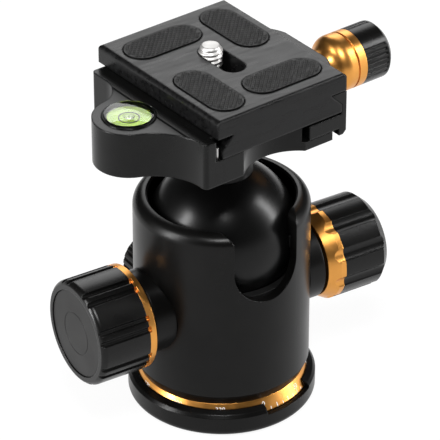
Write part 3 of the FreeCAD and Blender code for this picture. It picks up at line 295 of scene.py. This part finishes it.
def mesh_object(name, vertices, faces, finish, smooth=True):
    mesh = bpy.data.meshes.new(name)
    mesh.from_pydata(vertices, [], faces)
    mesh.validate()
    mesh.update()
    bm = bmesh.new()
    bm.from_mesh(mesh)
    bmesh.ops.recalc_face_normals(bm, faces=bm.faces)
    bm.to_mesh(mesh)
    bm.free()
    mesh.polygons.foreach_set("use_smooth", [smooth] * len(mesh.polygons))
    obj = bpy.data.objects.new(name, mesh)
    bpy.context.scene.collection.objects.link(obj)
    mesh.materials.append(finish.material)
    return obj


def ring_faces(rings, around, close=False):
    """Quads between rings of vertices that go right round."""
    faces = []
    for i in range(rings if close else rings - 1):
        for j in range(around):
            a, b = i * around, (i + 1) % rings * around
            faces.append((a + j, a + (j + 1) % around, b + (j + 1) % around, b + j))
    return faces


def lathe(profile, around, place):
    """Vertices and faces of a closed ring with a section of (radius, height)."""
    vertices = []
    for radius, height in profile:
        for j in range(around):
            turn = 2 * math.pi * j / around
            point = Vector((radius * math.cos(turn), radius * math.sin(turn), height))
            vertices.append(place @ point)
    return vertices, ring_faces(len(profile), around, close=True)


def threaded(low, high, major, depth, pitch, place, around=64, taper=0.0):
    """The flank of a screw thread, as rings whose radius follows the helix."""
    steps = int((high - low) / pitch * STEPS_PER_TURN)
    vertices = []
    for i in range(steps + 1):
        height = low + (high - low) * i / steps
        fade = min(1, (high - height) / taper) if taper else 1
        for j in range(around):
            turn = j / around
            phase = (height / pitch - turn) % 1
            valley = 1 - abs(2 * phase - 1)
            radius = major - depth * max(0, min(1, FLANK_SLOPE * valley - CREST_FLAT))
            radius = radius * fade + (major - depth * FADED_DEPTH) * (1 - fade)
            angle = 2 * math.pi * turn
            point = Vector((radius * math.cos(angle), radius * math.sin(angle), height))
            vertices.append(place @ point)
    return vertices, steps + 1


# %% [markdown]
# ## What repeats
#
# The ring's ticks and the pads' studs are one small shape many times over. A loop in Python could
# copy it, but Geometry Nodes keep the sizes as named inputs that can be changed by hand later, and
# that is why they are used. A tree is built here in the script and run on an empty mesh, and its
# result is kept as a plain mesh. The class below keeps that short.

# %% Geometry Nodes helpers
class Tree:
    """A Geometry Nodes tree with named inputs."""

    def __init__(self, name, sizes):
        self.group = bpy.data.node_groups.new(name, "GeometryNodeTree")
        self.group.interface.new_socket("Geometry", in_out="OUTPUT", socket_type="NodeSocketGeometry")
        self.values = sizes
        for key in sizes:
            self.group.interface.new_socket(key, in_out="INPUT", socket_type="NodeSocketFloat")
        self.inputs = self.group.nodes.new("NodeGroupInput").outputs
        self.output = self.group.nodes.new("NodeGroupOutput")

    def node(self, kind, settings=None, **values):
        """A node with its sockets linked to other sockets or set to plain values."""
        made = self.group.nodes.new(kind)
        for key, value in (settings or {}).items():
            setattr(made, key, value)
        for key, value in values.items():
            numbered = key[0] == "n" and key[1:].isdigit()
            socket = made.inputs[int(key[1:])] if numbered else made.inputs[key]
            if isinstance(value, bpy.types.NodeSocket):
                self.group.links.new(value, socket)
            else:
                socket.default_value = value
        return made

    def math(self, operation, a, b=0.0):
        return self.node("ShaderNodeMath", {"operation": operation}, n0=a, n1=b).outputs[0]

    def vector(self, x, y, z):
        return self.node("ShaderNodeCombineXYZ", X=x, Y=y, Z=z).outputs[0]

    def place(self):
        """The three parts of each point's place."""
        position = self.node("GeometryNodeInputPosition").outputs[0]
        return self.node("ShaderNodeSeparateXYZ", Vector=position).outputs

    def moved(self, geometry, **how):
        return self.node("GeometryNodeTransform", Geometry=geometry, **how).outputs[0]

    def bake(self, name, geometry, finish):
        """Realizes the instances, sets the finish and returns the result as a plain mesh object."""
        real = self.node("GeometryNodeRealizeInstances", Geometry=geometry).outputs[0]
        done = self.node("GeometryNodeSetMaterial", Geometry=real, Material=finish.material)
        self.group.links.new(done.outputs[0], self.output.inputs[0])
        carrier = bpy.data.objects.new(name + "_carrier", bpy.data.meshes.new(name + "_carrier"))
        bpy.context.scene.collection.objects.link(carrier)
        modifier = carrier.modifiers.new(name, "NODES")
        modifier.node_group = self.group
        for item in self.group.interface.items_tree:
            if item.in_out == "INPUT":
                modifier[item.identifier] = float(self.values[item.name])
        graph = bpy.context.evaluated_depsgraph_get()
        mesh = bpy.data.meshes.new_from_object(carrier.evaluated_get(graph))
        mesh.name = name
        bpy.data.objects.remove(carrier)
        obj = bpy.data.objects.new(name, mesh)
        bpy.context.scene.collection.objects.link(obj)
        return obj


# %% [markdown]
# ## Pad studs
#
# Each rubber pad is moulded with rows of little blunt pyramids, set on the diagonal, so that the
# camera can't turn on it. A bump pattern would vanish at the edge of each pad and in the exported
# mesh, so the studs are geometry: a grid of points is turned by 45 degrees, the points outside the
# pad's rounded outline are left out, and a four-sided cone stands on each of the others.

# %% Pad studs
STUD_PITCH = 0.95 * MM
STUD_HEIGHT = 0.24 * MM
STUD_FOOT, STUD_CROWN = 0.62, 0.3
STUD_SINK = 0.05 * MM
PAD_MARGIN = 0.55 * MM
GRID_SIDE = 2.9


def make_studs(node, along_x):
    low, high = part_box(node)
    middle = (low + high) / 2
    local = [TURN.inverted() @ v.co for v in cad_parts[node].data.vertices]
    long_axis, wide_axis = (0, 1) if along_x else (1, 0)
    half_long = (max(v[long_axis] for v in local) - min(v[long_axis] for v in local)) / 2
    half_wide = (max(v[wide_axis] for v in local) - min(v[wide_axis] for v in local)) / 2
    tree = Tree("studs", {"Half length": half_long, "Half width": half_wide, "Pitch": STUD_PITCH,
                          "Height": STUD_HEIGHT, "Margin": PAD_MARGIN})
    size = tree.inputs
    across = tree.math("MULTIPLY", size["Half length"], GRID_SIDE)
    count = tree.math("DIVIDE", across, size["Pitch"])
    grid = tree.node("GeometryNodeMeshGrid", n0=across, n1=across, n2=count, n3=count)
    points = tree.moved(grid.outputs["Mesh"], Rotation=(0, 0, math.radians(45)))
    place = tree.place()
    straight = tree.math("SUBTRACT", size["Half length"], size["Half width"])
    along = tree.math("ABSOLUTE", place[0])
    past = tree.math("MAXIMUM", tree.math("SUBTRACT", along, straight), 0.0)
    across_squared = tree.math("MULTIPLY", place[1], place[1])
    spread = tree.math("ADD", tree.math("MULTIPLY", past, past), across_squared)
    reach = tree.math("SUBTRACT", size["Half width"], size["Margin"])
    inside = tree.math("LESS_THAN", spread, tree.math("MULTIPLY", reach, reach))
    foot = tree.math("MULTIPLY", size["Pitch"], STUD_FOOT)
    crown = tree.math("MULTIPLY", size["Pitch"], STUD_CROWN)
    cone = {"Radius Top": crown, "Radius Bottom": foot, "Depth": size["Height"]}
    stud = tree.node("GeometryNodeMeshCone", Vertices=4, **cone).outputs["Mesh"]
    spots = tree.node("GeometryNodeInstanceOnPoints", Points=points, Selection=inside, Instance=stud)
    studs = tree.bake(node + "_studs", spots.outputs[0], rubber)
    quarter = 0 if along_x else math.pi / 2
    top = Matrix.Translation((middle.x, middle.y, high.z - STUD_SINK))
    studs.data.transform(top @ TURN @ Matrix.Rotation(quarter, 4, "Z"))
    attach(studs, "plate")
    return len(studs.data.polygons)


PADS = {"pad_rear": True, "pad_right": False, "pad_front": True, "pad_left": False}
for pad, along_x in PADS.items():
    print(pad, "stud faces:", make_studs(pad, along_x))

# %% [markdown]
# ## Camera screw
#
# A 1/4 inch screw stands up through the plate's slot and goes into the camera. Its solid has a
# plain shank, which is right for a check of fit and looks wrong close up. A Screw modifier could
# turn a section into a thread, but its ends stay cut. Here the solid's foot is kept, and above it
# the radius follows a real helix of 20 turns to the inch that fades out under a flat top.

# %% Camera screw
SCREW_DROP = 1.1 * MM
SCREW_SPLIT, SCREW_LAP = 96.4 * MM, 0.4 * MM
SCREW_MAJOR, SCREW_DEPTH, SCREW_PITCH = 3.17 * MM, 0.5 * MM, 1.27 * MM
SCREW_TAPER, SCREW_CROWN = 0.9 * MM, 0.5 * MM
SCREW_TOP = ((2.3, -0.1), (2.1, 0.0), (0.02, 0.0))


def make_camera_screw():
    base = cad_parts["camera_screw"]
    low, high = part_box("camera_screw")
    bm = bmesh.new()
    bm.from_mesh(base.data)
    whole = bm.verts[:] + bm.edges[:] + bm.faces[:]
    bmesh.ops.bisect_plane(bm, geom=whole, plane_co=(0, 0, SCREW_SPLIT), plane_no=(0, 0, 1),
                           clear_outer=True)
    mesh = bpy.data.meshes.new("camera_screw_foot")
    bm.to_mesh(mesh)
    bm.free()
    foot = bpy.data.objects.new("camera_screw_foot", mesh)
    bpy.context.scene.collection.objects.link(foot)
    dress(foot, steel)
    mesh.polygons.foreach_set("use_smooth", [False] * len(mesh.polygons))

    around = 64
    place = Matrix.Translation(SCREW_AXIS)
    top = high.z - SCREW_DROP
    vertices, rings = threaded(SCREW_SPLIT - SCREW_LAP, top - SCREW_CROWN, SCREW_MAJOR, SCREW_DEPTH,
                               SCREW_PITCH, place, around, SCREW_TAPER)
    for radius, height in SCREW_TOP:
        for j in range(around):
            angle = 2 * math.pi * j / around
            x, y = radius * MM * math.cos(angle), radius * MM * math.sin(angle)
            vertices.append(place @ Vector((x, y, top + height * MM)))
        rings += 1
    faces = ring_faces(rings, around)
    thread = mesh_object("camera_screw_thread", vertices, faces, screw_steel)
    for face in thread.data.polygons:
        face.use_smooth = face.normal.z < 0.99
    for piece in (foot, thread):
        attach(piece, "camera_screw")
    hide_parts("camera_screw")
    return thread


print("thread faces:", len(make_camera_screw().data.polygons))


# %% [markdown]
# ### Thread inside the base
#
# The tripod's 3/8 inch stud screws into a steel insert. The same helper makes its thread, of 16
# turns to the inch, and its faces are then turned to look at the axis.

# %% Thread inside the base
INSERT_LOW, INSERT_HIGH = 0.25 * MM, 9.3 * MM
INSERT_MAJOR, INSERT_DEPTH, INSERT_PITCH = 4.76 * MM, 0.7 * MM, 1.5875 * MM
INSERT_SIDES = 72


def make_insert_thread():
    vertices, rings = threaded(INSERT_LOW, INSERT_HIGH, INSERT_MAJOR, INSERT_DEPTH, INSERT_PITCH,
                               Matrix.Identity(4), INSERT_SIDES)
    faces = ring_faces(rings, INSERT_SIDES)
    thread = mesh_object("insert_thread", vertices, faces, steel)
    thread.data.flip_normals()
    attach(thread, "base")
    return thread


print("insert faces:", len(make_insert_thread().data.polygons))


# %% [markdown]
# ## Marks on the scale ring
#
# The gold ring turns with the housing and shows by how much it has panned. Its white marks could be
# painted by a texture, but at this size they would blur. They are thin raised shapes instead: a
# tick every 5 degrees by Geometry Nodes, and a plain number every 30. The ring is a cone, so the
# numbers are drawn flat and each point is then laid on it, a hair proud.

# %% Scale marks
NUMBER_TURN = math.radians(-93)
NUMBER_STEP = 30
NUMBER_SIZE, NUMBER_THICK = 1.75 * MM, 0.02 * MM
NUMBER_RISE, NUMBER_PROUD = 1.45 * MM, 0.01 * MM
TICK_LENGTH, TICK_WIDTH, TICK_THICK = 1.15 * MM, 0.2 * MM, 0.05 * MM
SHORT_TICK = 0.35
CONE_RISE = math.atan2(RING_TOP - RING_LOW, RING_LOW_RADIUS - RING_TOP_RADIUS)


def on_cone(turn, up, proud):
    """A point on the ring's cone: an angle about Z, a way up the slope and a height above it."""
    radius = RING_LOW_RADIUS - up * math.cos(CONE_RISE) + proud * math.sin(CONE_RISE)
    height = RING_LOW + up * math.sin(CONE_RISE) + proud * math.cos(CONE_RISE)
    return Vector((radius * math.cos(turn), radius * math.sin(turn), height))


def make_ticks():
    """A tick every 5 degrees: a thin bar laid on the cone, shorter at every second one."""
    tree = Tree("ticks", {"Count": 72, "Radius": RING_LOW_RADIUS, "Height": RING_LOW,
                          "Length": TICK_LENGTH, "Width": TICK_WIDTH, "Thickness": TICK_THICK})
    size = tree.inputs
    circle = tree.node("GeometryNodeMeshCircle", Vertices=size["Count"], Radius=size["Radius"])
    spots = tree.moved(circle.outputs[0], Rotation=(0, 0, NUMBER_TURN))
    place = tree.place()
    angle = tree.math("ARCTAN2", place[1], place[0])
    lean = tree.vector(0.0, CONE_RISE - math.pi / 2, angle)
    odd = tree.math("MODULO", tree.node("GeometryNodeInputIndex").outputs[0], 2.0)
    stretch = tree.math("SUBTRACT", 1.0, tree.math("MULTIPLY", odd, SHORT_TICK))
    scale = tree.vector(1.0, 1.0, stretch)
    bar_size = tree.vector(size["Thickness"], size["Width"], size["Length"])
    bar = tree.node("GeometryNodeMeshCube", Size=bar_size).outputs["Mesh"]
    half = tree.math("MULTIPLY", size["Length"], 0.5)
    standing = tree.moved(bar, Translation=tree.vector(0.0, 0.0, half))
    bars = tree.node("GeometryNodeInstanceOnPoints", Points=spots, Instance=standing,
                     Rotation=lean, Scale=scale)
    lifted = tree.moved(bars.outputs[0], Translation=tree.vector(0.0, 0.0, size["Height"]))
    return tree.bake("scale_ticks", lifted, ink)


def make_numbers():
    combined = bmesh.new()
    for degree in range(0, 360, NUMBER_STEP):
        curve = bpy.data.curves.new("number", "FONT")
        curve.body = str(degree)
        curve.size = NUMBER_SIZE
        curve.align_x = "CENTER"
        curve.extrude = NUMBER_THICK
        text = bpy.data.objects.new("number", curve)
        bpy.context.scene.collection.objects.link(text)
        bpy.context.view_layer.update()
        graph = bpy.context.evaluated_depsgraph_get()
        flat = bpy.data.meshes.new_from_object(text.evaluated_get(graph))
        turn = math.radians(degree) + NUMBER_TURN
        for vertex in flat.vertices:
            x, y, z = vertex.co
            vertex.co = on_cone(turn + x / RING_TOP_RADIUS, NUMBER_RISE + y, z + NUMBER_PROUD)
        combined.from_mesh(flat)
        bpy.data.objects.remove(text)
        bpy.data.curves.remove(curve)
        bpy.data.meshes.remove(flat)
    mesh = bpy.data.meshes.new("scale_numbers")
    combined.to_mesh(mesh)
    combined.free()
    numbers = bpy.data.objects.new("scale_numbers", mesh)
    bpy.context.scene.collection.objects.link(numbers)
    dress(numbers, ink)
    return numbers


for marks in (make_ticks(), make_numbers()):
    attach(marks, "housing")
    print(marks.name, "faces:", len(marks.data.polygons))


# %% [markdown]
# ## Spirit level
#
# The level's bubble floats under the lens, and a black ring printed below it is the target. Both
# could be discs with a texture, but a turned ring and a flattened ball throw real reflections
# and take two short sections.

# %% Level details
TARGET_INNER, TARGET_OUTER = 2.45 * MM, 2.75 * MM
TARGET_LOW, TARGET_TOP = 0.02 * MM, 0.08 * MM
BUBBLE_RADIUS, BUBBLE_POLE = 1.35, 0.02
BUBBLE_MIDDLE, BUBBLE_HALF = 0.3, 0.2
BUBBLE_STEPS = 8


def make_level():
    low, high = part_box("level_fluid")
    place = Matrix.Translation(Vector((LEVEL.x, LEVEL.y, high.z)))
    section = [(TARGET_INNER, TARGET_LOW), (TARGET_OUTER, TARGET_LOW),
               (TARGET_OUTER, TARGET_TOP), (TARGET_INNER, TARGET_TOP)]
    vertices, faces = lathe(section, 64, place)
    target = mesh_object("level_target", vertices, faces, target_black)
    section = []
    for k in range(BUBBLE_STEPS + 1):
        angle = math.pi * k / BUBBLE_STEPS
        radius = max(BUBBLE_RADIUS * math.sin(angle), BUBBLE_POLE)
        section.append((radius * MM, (BUBBLE_MIDDLE - BUBBLE_HALF * math.cos(angle)) * MM))
    vertices, faces = lathe(section, 32, place)
    bubble = mesh_object("level_bubble", vertices, faces, glass)
    for piece in (target, bubble):
        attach(piece, "clamp")
        print(piece.name, "faces:", len(piece.data.polygons))


make_level()


# %% [markdown]
# ## Knob caps
#
# The two large knobs end in a thin disc with a shallow engraved circle. The groove could be cut
# with a Boolean modifier, which leaves long thin faces that shade badly. A disc with its groove is
# one outline turned round an axis, so the helper for the level's rings makes it too. Only the rim
# and the groove are shaded smooth, because a smooth flat face would show a dent at its centre.

# %% Knob caps
CAP_RIM, CAP_RIM_STEPS = 0.3 * MM, 4
GROOVE_SINK, GROOVE_HALF = 0.18 * MM, 0.14 * MM
GROOVE_SECTION = ((1.6, 0), (0.8, 0.7), (0, 1), (-0.8, 0.7), (-1.6, 0))
CAP_POLE = 0.01 * MM
FLAT_FACE, STEEP_FACE = 0.999, 0.3


def make_cap(node, body, groove_radius):
    low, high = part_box(node)
    radius = (high.z - low.z) / 2
    outwards = -1 if low.x < 0 else 1
    front = low.x if outwards < 0 else high.x
    turned = Matrix.Rotation(outwards * math.pi / 2, 4, "Y")
    place = Matrix.Translation((front, 0, KNOB_AXIS)) @ turned
    depth = high.x - low.x
    profile = [(CAP_POLE, -depth), (radius, -depth), (radius, -CAP_RIM)]
    for k in range(CAP_RIM_STEPS + 1):
        turn = math.pi / 2 * k / CAP_RIM_STEPS
        across, down = CAP_RIM * (1 - math.cos(turn)), CAP_RIM * (1 - math.sin(turn))
        profile.append((radius - across, -down))
    for across, down in GROOVE_SECTION:
        profile.append((groove_radius + across * GROOVE_HALF, -down * GROOVE_SINK))
    profile.append((CAP_POLE, 0))
    vertices, faces = lathe(profile, 128, place)
    cap = mesh_object(node + "_engraved", vertices, faces, cap_black)
    for face in cap.data.polygons:
        face.use_smooth = STEEP_FACE < abs(face.normal.x) < FLAT_FACE
    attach(cap, body)
    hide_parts(node)
    return cap


CAPS = (("main_end_cap", "main_knob", 5.8 * MM), ("friction_end_cap", "friction_knob", 4.6 * MM))
for node, body, groove_radius in CAPS:
    cap = make_cap(node, body, groove_radius)
    print(cap.name, "faces:", len(cap.data.polygons))

# %% [markdown]
# ## Studio
#
# The head stands on a plain white floor that reaches to the horizon. A very bright floor would
# light the head from below and turn its blacks grey. So the floor is a mid grey that only the
# camera, mirrors and glass see as white, by the Light Path node, and it keeps a faint shadow.

# %% Floor
FLOOR_SIZE, FLOOR_DROP = 60, 0.0002
FLOOR_GLOW, FLOOR_SHARE = 1.12, 0.8


def make_floor():
    plain = Finish("studio_white", (0.55, 0.55, 0.55), 0.9)
    light_path = plain.node("ShaderNodeLightPath")
    glow = plain.node("ShaderNodeEmission")
    glow.inputs["Color"].default_value = (1, 1, 1, 1)
    glow.inputs["Strength"].default_value = FLOOR_GLOW
    mixer = plain.node("ShaderNodeMixShader")
    mirrored = plain.node("ShaderNodeMath", operation="MAXIMUM")
    plain.link(light_path.outputs["Is Glossy Ray"], mirrored.inputs[0])
    plain.link(light_path.outputs["Is Transmission Ray"], mirrored.inputs[1])
    either = plain.node("ShaderNodeMath", operation="MAXIMUM")
    plain.link(light_path.outputs["Is Camera Ray"], either.inputs[0])
    plain.link(mirrored.outputs[0], either.inputs[1])
    seen = plain.node("ShaderNodeMath", operation="MULTIPLY")
    seen.inputs[1].default_value = FLOOR_SHARE
    plain.link(either.outputs[0], seen.inputs[0])
    plain.link(seen.outputs[0], mixer.inputs["Fac"])
    output = next(n for n in plain.tree.nodes if n.type == "OUTPUT_MATERIAL")
    plain.link(plain.shader.outputs[0], mixer.inputs[1])
    plain.link(glow.outputs[0], mixer.inputs[2])
    plain.link(mixer.outputs[0], output.inputs["Surface"])
    bpy.ops.mesh.primitive_plane_add(size=FLOOR_SIZE, location=(0, 0, -FLOOR_DROP))
    floor = bpy.context.object
    floor.name = "studio_floor"
    floor.data.materials.append(plain.material)


make_floor()
print("floor laid")

# %% [markdown]
# ### Lamps
#
# Black things are drawn by their reflections. Two tall, narrow lamps at the sides give the knobs
# and the ball their long highlights, and two softer ones lift the top and the back. The world
# adds only a little, since light from everywhere would wash the blacks out.

# %% Lamps
def lamp(name, position, target, size, energy, size_y=None):
    data = bpy.data.lights.new(name, "AREA")
    data.energy = energy
    data.size = size
    if size_y:
        data.shape = "RECTANGLE"
        data.size_y = size_y
    obj = bpy.data.objects.new(name, data)
    bpy.context.scene.collection.objects.link(obj)
    obj.location = position
    obj.rotation_euler = (Vector(target) - Vector(position)).to_track_quat("-Z", "Y").to_euler()
    return obj


MIDDLE = (0, 0, 0.05)
lamp("edge_soft", (-0.25, -0.38, 0.75), MIDDLE, 0.24, 5)
lamp("back_soft", (0.42, 0.68, 0.5), MIDDLE, 0.5, 2.5)
lamp("left_strip", (-0.7, 0.1, 0.3), MIDDLE, 0.12, 9, 0.6)
lamp("right_strip", (0.55, -0.3, 0.3), MIDDLE, 0.1, 5.5, 0.6)

world = bpy.data.worlds.new("studio_world")
bpy.context.scene.world = world
world.use_nodes = True
background = world.node_tree.nodes["Background"]
background.inputs["Color"].default_value = (1, 1, 1, 1)
background.inputs["Strength"].default_value = 0.03
print("lamps:", len(bpy.data.lights))

# %% [markdown]
# ### Camera
#
# The view looks down at the head's front and left side. A long lens from nearly a metre away
# keeps the shapes as calm as in a catalogue picture.

# %% Camera
YAW = math.radians(32.03)
PITCH = math.radians(31.98)
RIGHT = Vector((math.cos(YAW), -math.sin(YAW), 0))
FORWARD = Vector((math.sin(YAW) * math.cos(PITCH), math.cos(YAW) * math.cos(PITCH), -math.sin(PITCH)))
camera_data = bpy.data.cameras.new("photo_camera")
camera_data.sensor_width = 36
camera_data.lens = 283.0
camera_data.clip_start = 0.01
camera_data.clip_end = 20
DISTANCE = 0.9
camera = bpy.data.objects.new("photo_camera", camera_data)
bpy.context.scene.collection.objects.link(camera)
aim = RIGHT * (-0.43 * MM) + Vector((0, 0, 51.4 * MM))
camera.location = aim - FORWARD * DISTANCE
camera.rotation_euler = FORWARD.to_track_quat("-Z", "Y").to_euler()
bpy.context.scene.camera = camera
bpy.context.scene.view_settings.view_transform = "Standard"
print("camera at:", [round(value, 3) for value in camera.location])
